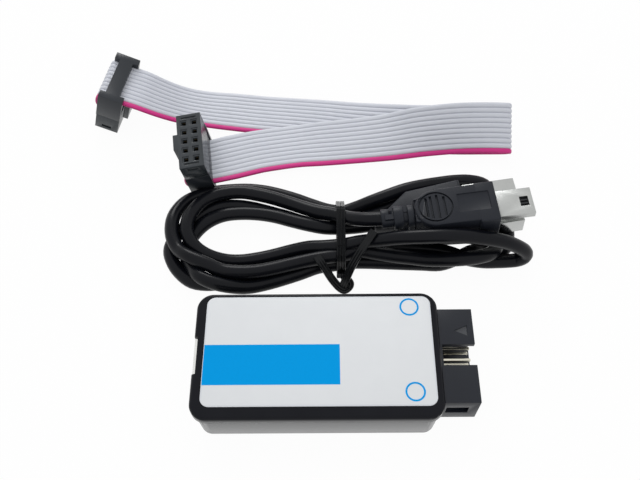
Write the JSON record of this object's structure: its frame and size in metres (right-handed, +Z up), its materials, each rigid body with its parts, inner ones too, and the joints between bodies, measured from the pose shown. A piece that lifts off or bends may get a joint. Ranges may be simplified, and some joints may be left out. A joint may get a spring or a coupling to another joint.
{
  "type": "usb microcontroller programmer",
  "caption": "Small boxed USB programmer with a pin header at one end and a mini USB socket at the other, with its tied USB lead and ribbon cable.",
  "frame": {"origin": "on the resting surface under the middle of the case", "axes": "+Z up, +X along the case towards the box header, +Y away from the viewer, towards the cables"},
  "size_m": [0.1089, 0.0965, 0.0166],
  "materials": {
    "case_black": "injection-moulded black plastic with a soft sheen",
    "label_film": "printed label film, pale with a blue band",
    "header_black": "glass-filled black plastic",
    "socket_grey": "glass-filled dark grey plastic with a soft sheen",
    "board_green": "solder mask over glass laminate",
    "chip_black": "moulded epoxy",
    "ceramic_tan": "ceramic with tinned ends",
    "lens_clear": "clear moulded lens",
    "tinned_steel": "nickel-plated stamped steel",
    "gold_contact": "gold-plated brass",
    "white_plastic": "moulded insulator",
    "insert_black": "moulded insulator",
    "cable_black": "smooth PVC jacket with a soft sheen",
    "tie_black": "PVC-coated wire tie",
    "ribbon_grey": "ten-way PVC ribbon with one pink edge wire"
  },
  "bodies": {
    "base": {"bottom_shell": "case_black", "circuit_board": "board_green", "usb_receptacle_shell": "tinned_steel", "usb_receptacle_tongue": "insert_black", "usb_receptacle_contacts": "gold_contact", "header_shroud": "header_black", "header_pins": "gold_contact", "microcontroller_chip": "chip_black", "microcontroller_leads": "tinned_steel", "crystal_can": "tinned_steel", "voltage_regulator": "chip_black", "power_led": "lens_clear", "activity_led": "lens_clear", "chip_resistors": "chip_black", "chip_capacitors": "ceramic_tan", "lead_hank": "cable_black", "mini_plug_tail": "cable_black", "usb_a_tail": "cable_black", "twist_tie": "tie_black", "mini_plug_overmold": "cable_black", "mini_plug_shell": "tinned_steel", "mini_plug_insert": "insert_black", "mini_plug_contacts": "gold_contact", "usb_a_overmold": "cable_black", "usb_a_shell": "tinned_steel", "usb_a_tongue": "white_plastic", "usb_a_contacts": "gold_contact", "ribbon_cable": "ribbon_grey", "socket_a_body": "socket_grey", "socket_a_cover": "socket_grey", "socket_a_strain_relief": "header_black", "socket_a_contacts": "gold_contact", "socket_b_body": "socket_grey", "socket_b_cover": "socket_grey", "socket_b_strain_relief": "header_black", "socket_b_contacts": "gold_contact"},
    "lid": {"top_shell": "case_black", "label_plate": "label_film"}
  },
  "joints": [
    {"name": "lid_lift", "type": "slide", "parent": "base", "child": "lid", "axis": [0, 0, 1], "range_m": [0, 0.03]}
  ]
}
